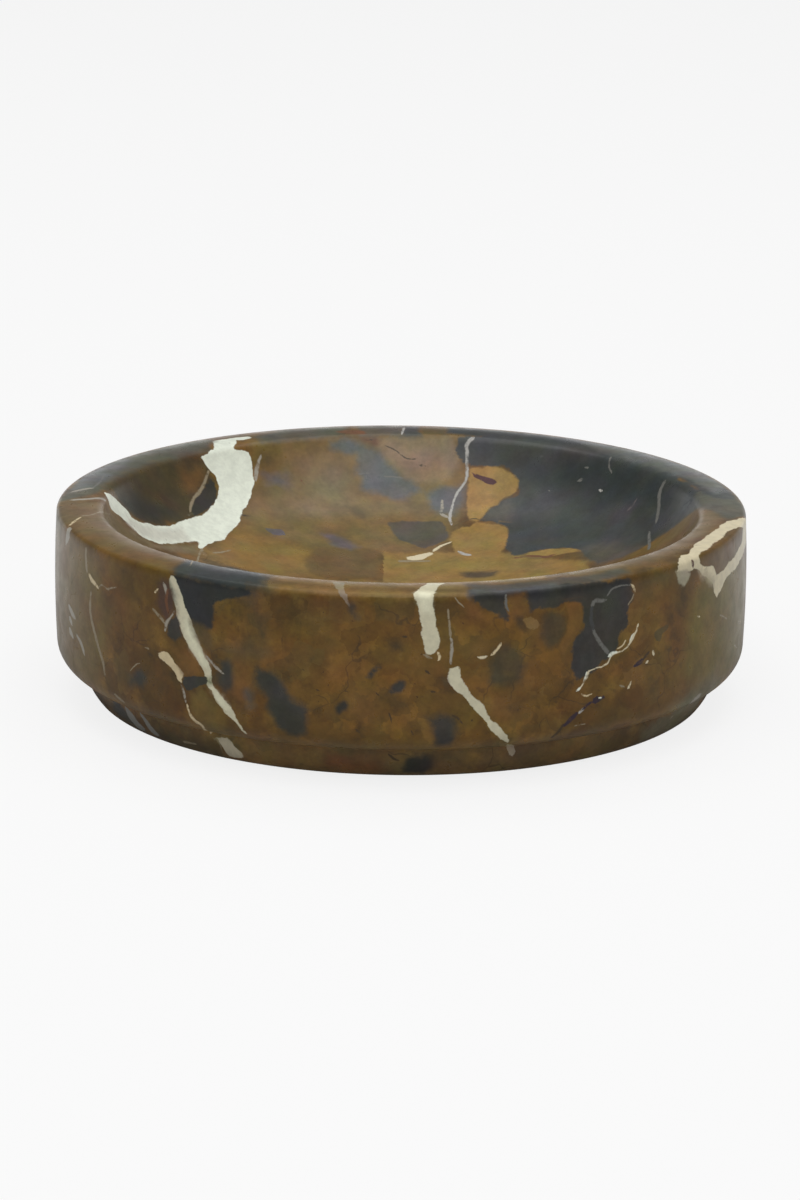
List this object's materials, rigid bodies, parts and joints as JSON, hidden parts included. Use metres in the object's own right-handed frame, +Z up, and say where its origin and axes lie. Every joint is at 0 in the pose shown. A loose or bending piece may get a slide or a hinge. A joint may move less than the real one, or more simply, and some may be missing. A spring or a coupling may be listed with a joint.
{
  "type": "soap dish",
  "caption": "Round turned stone soap dish with a shallow bowl, a crowned rim and a stepped foot on thin non-slip pads.",
  "frame": {"origin": "where the dish's own axis meets the counter, on the plane of the pads' undersides", "axes": "+Z up along the axis the dish is turned about; -Y faces the picture's camera"},
  "size_m": [0.11, 0.11, 0.031],
  "materials": {
    "stone": "satin polish, brown and grey veined marble",
    "pads": "matt"
  },
  "bodies": {
    "root": {"stone_dish": "stone", "non_slip_pad_1": "pads", "non_slip_pad_2": "pads", "non_slip_pad_3": "pads", "non_slip_pad_4": "pads"}
  },
  "joints": []
}
